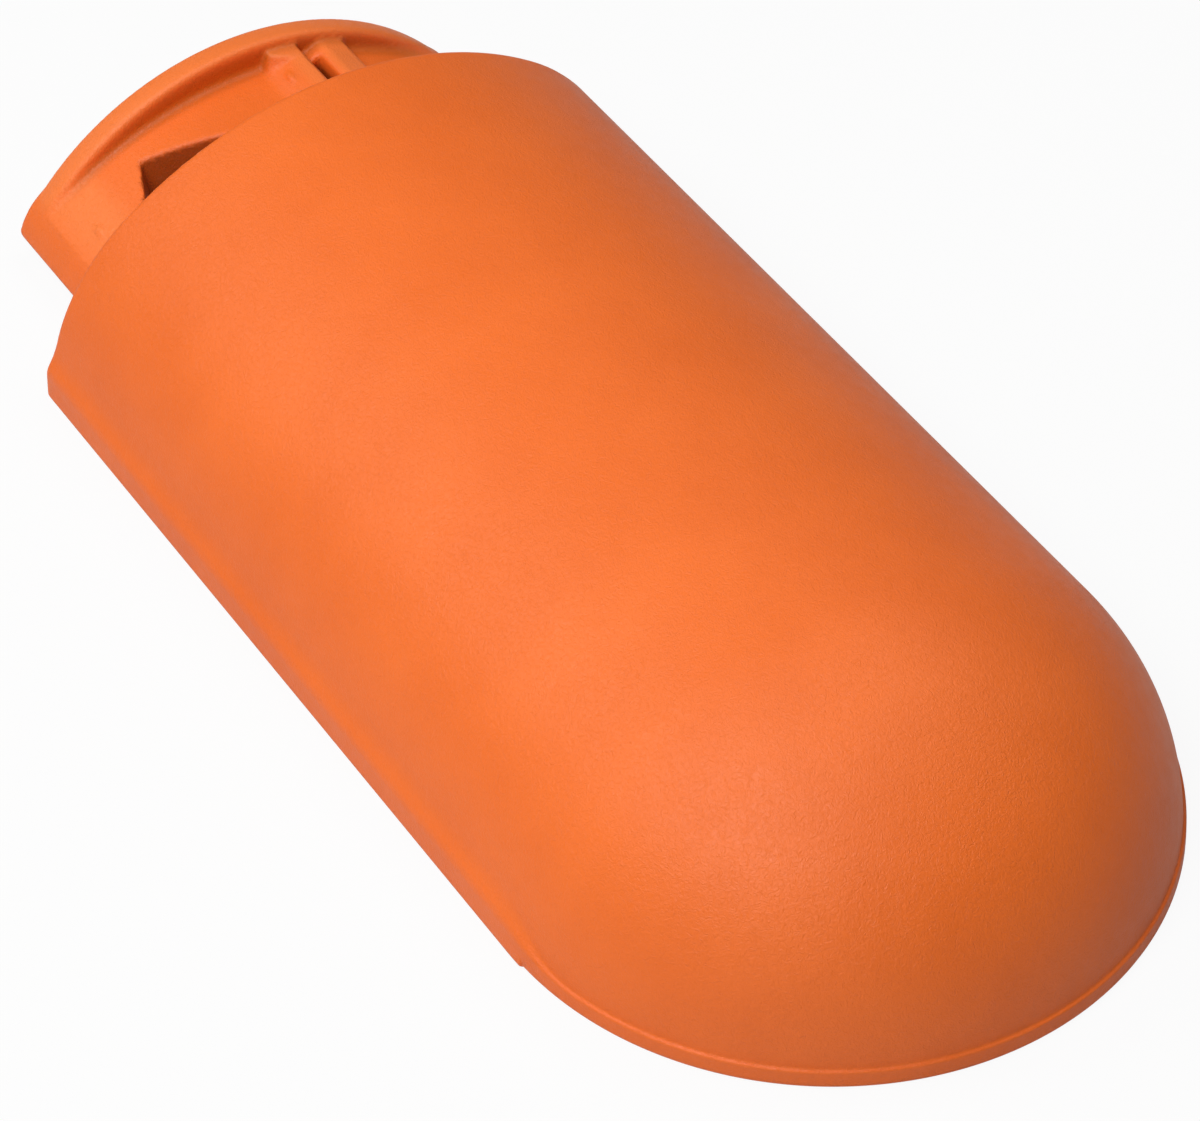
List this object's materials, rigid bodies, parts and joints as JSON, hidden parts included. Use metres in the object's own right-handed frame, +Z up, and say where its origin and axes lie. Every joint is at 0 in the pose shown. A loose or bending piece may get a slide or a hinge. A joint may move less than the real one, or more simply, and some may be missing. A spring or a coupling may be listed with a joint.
{
  "type": "clay ridge starter tile",
  "caption": "Arched clay ridge tile with a rounded closed end, foot lips along its sides and a narrow ribbed spigot that the next ridge tile covers.",
  "frame": {"origin": "middle of the tile's box, on the plane that its foot rests on", "axes": "+X along the length towards the rounded end, +Z up through the crown"},
  "size_m": [0.4442, 0.21, 0.0815],
  "materials": {
    "terracotta": "satin"
  },
  "bodies": {
    "root": {"ridge_tile": "terracotta"}
  },
  "joints": []
}
